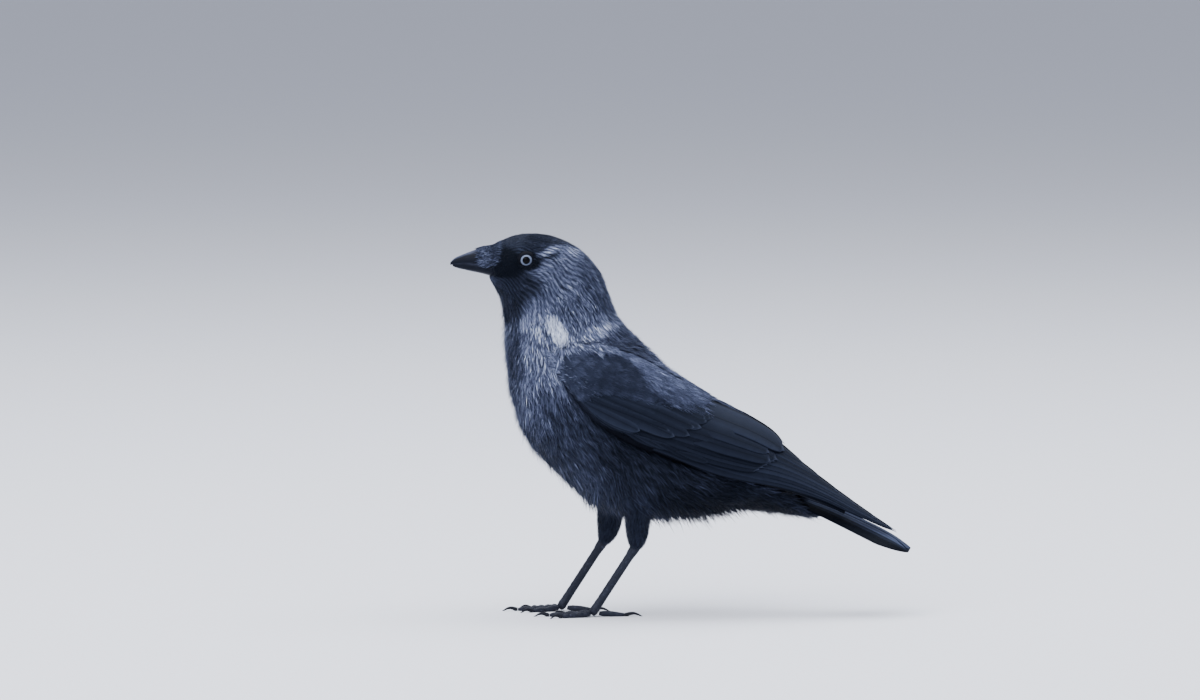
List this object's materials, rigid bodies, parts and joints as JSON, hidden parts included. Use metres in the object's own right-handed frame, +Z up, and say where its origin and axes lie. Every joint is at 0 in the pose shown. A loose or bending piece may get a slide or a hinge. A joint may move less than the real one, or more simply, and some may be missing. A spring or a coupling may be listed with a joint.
{
  "type": "western jackdaw figure",
  "caption": "Life-size still model of a western jackdaw standing with its wings folded, for display as in a natural history museum.",
  "frame": {"origin": "on the floor under the middle of the bird's box", "axes": "-X where the bill points, +X towards the tail, -Y the bird's left side, +Z up"},
  "size_m": [0.2802, 0.084, 0.2323],
  "materials": {
    "cap_plumage": "satin",
    "nape_plumage": "silky",
    "breast_plumage": "matt",
    "belly_plumage": "matt",
    "vent_plumage": "matt",
    "wing_plumage": "satin",
    "tail_plumage": "satin",
    "bill_horn": "satin",
    "claw_horn": "satin",
    "leg_scales": "satin",
    "iris": "gloss"
  },
  "bodies": {
    "root": {"head": "cap_plumage", "neck": "nape_plumage", "breast": "breast_plumage", "belly": "belly_plumage", "thigh_left": "belly_plumage", "thigh_right": "belly_plumage", "vent": "vent_plumage", "wing_coverts_left": "wing_plumage", "wing_secondaries_left": "wing_plumage", "wing_primaries_left": "wing_plumage", "wing_coverts_right": "wing_plumage", "wing_secondaries_right": "wing_plumage", "wing_primaries_right": "wing_plumage", "tail": "tail_plumage", "bill_upper": "bill_horn", "bill_lower": "bill_horn", "claw_hind_left": "claw_horn", "claw_inner_left": "claw_horn", "claw_middle_left": "claw_horn", "claw_outer_left": "claw_horn", "claw_hind_right": "claw_horn", "claw_inner_right": "claw_horn", "claw_middle_right": "claw_horn", "claw_outer_right": "claw_horn", "tarsus_left": "leg_scales", "tarsus_right": "leg_scales", "toe_hind_left": "leg_scales", "toe_inner_left": "leg_scales", "toe_middle_left": "leg_scales", "toe_outer_left": "leg_scales", "toe_hind_right": "leg_scales", "toe_inner_right": "leg_scales", "toe_middle_right": "leg_scales", "toe_outer_right": "leg_scales", "eye_left": "iris", "eye_right": "iris"}
  },
  "joints": []
}
